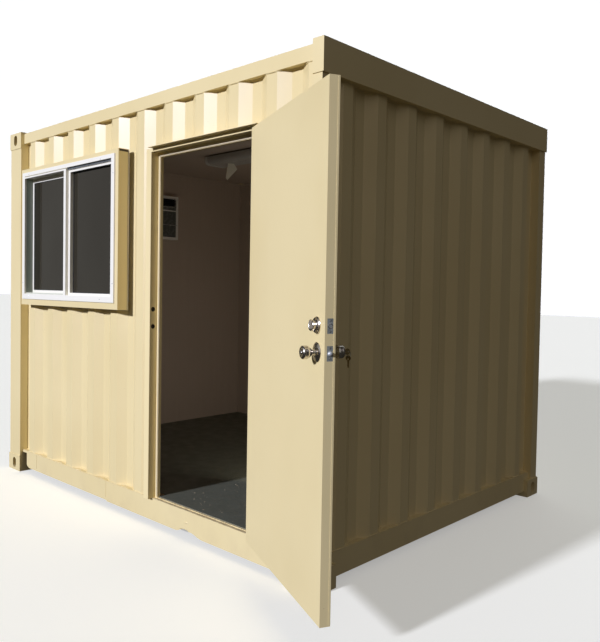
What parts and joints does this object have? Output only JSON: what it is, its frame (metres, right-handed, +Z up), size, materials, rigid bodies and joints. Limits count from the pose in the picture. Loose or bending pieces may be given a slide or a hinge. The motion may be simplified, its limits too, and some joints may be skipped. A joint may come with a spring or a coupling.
{
  "type": "portable site cabin",
  "caption": "Steel container site cabin with corrugated walls, corner castings, one slider window, and an outward-opening hinged door with knob lock and deadbolt.",
  "frame": {"origin": "centre of the base, midway between the four bottom corner castings, on the plane they stand on", "axes": "+X to the right seen from the door side, along the length; +Y to the back; +Z up"},
  "size_m": [3.6241, 2.9417, 2.591],
  "materials": {
    "frame_paint": "satin",
    "wall_paint": "satin",
    "door_paint": "satin",
    "threshold_metal": "satin",
    "door_core": "matte",
    "deck_wood": "matte",
    "floor_vinyl": "matte",
    "lining": "matte",
    "hinge_steel": "satin",
    "lock_chrome": "satin",
    "window_white": "satin",
    "window_reveal": "matte",
    "pane": "gloss",
    "light_body": "satin",
    "light_lens": "satin",
    "unit_plastic": "satin"
  },
  "bodies": {
    "cabin": {"bottom_rails": "frame_paint", "castings_bottom_left": "frame_paint", "castings_bottom_right": "frame_paint", "castings_top_left": "frame_paint", "ceiling_light_base": "light_body", "ceiling_light_diffuser": "light_lens", "ceiling_panel": "lining", "door_frame_head": "door_paint", "door_jamb_left": "door_paint", "door_jamb_right": "door_paint", "door_threshold": "threshold_metal", "end_sills": "frame_paint", "floor_covering": "floor_vinyl", "floor_cross_members": "frame_paint", "floor_deck": "deck_wood", "header_left": "frame_paint", "header_right": "frame_paint", "hinges_frame_side": "hinge_steel", "lining_front_left": "lining", "lining_front_right": "lining", "lining_left_end": "lining", "lining_over_door": "lining", "lining_rear": "lining", "lining_right_end": "lining", "posts_left_end": "frame_paint", "posts_right_end": "frame_paint", "roof_sheet": "wall_paint", "top_rails": "frame_paint", "wall_front_left": "wall_paint", "wall_front_over_door": "wall_paint", "wall_front_right": "wall_paint", "wall_left_end": "wall_paint", "wall_rear": "wall_paint", "wall_right_end": "wall_paint", "wall_unit": "unit_plastic", "window_box": "wall_paint", "window_frame": "window_white", "window_glass": "pane", "window_reveal": "window_reveal", "window_sashes": "window_white"},
    "door": {"door_skin": "door_paint", "door_core": "door_core", "door_edge_plates": "lock_chrome", "deadbolt_cylinders": "lock_chrome", "knob_roses": "lock_chrome", "hinges_door_side": "hinge_steel"},
    "inside_knob": {"knob_inside": "lock_chrome"},
    "outside_knob": {"knob_outside": "lock_chrome"}
  },
  "joints": [
    {"name": "door_swing", "type": "hinge", "parent": "cabin", "child": "door", "pos_m": [1.2085, -1.2325, 1.2], "axis": [0, 0, 1], "range_deg": [-154, 24]},
    {"name": "inside_knob_turn", "type": "hinge", "parent": "door", "child": "inside_knob", "pos_m": [1.96406, -1.63606, 1.201], "axis": [-0.4384, -0.8988, 0], "range_deg": [-60, 60], "stiffness_Nm_per_rad": 0.4},
    {"name": "outside_knob_turn", "type": "hinge", "parent": "door", "child": "outside_knob", "pos_m": [1.96406, -1.63606, 1.201], "axis": [0.4384, 0.8988, 0], "range_deg": [-60, 60], "stiffness_Nm_per_rad": 0.4}
  ]
}
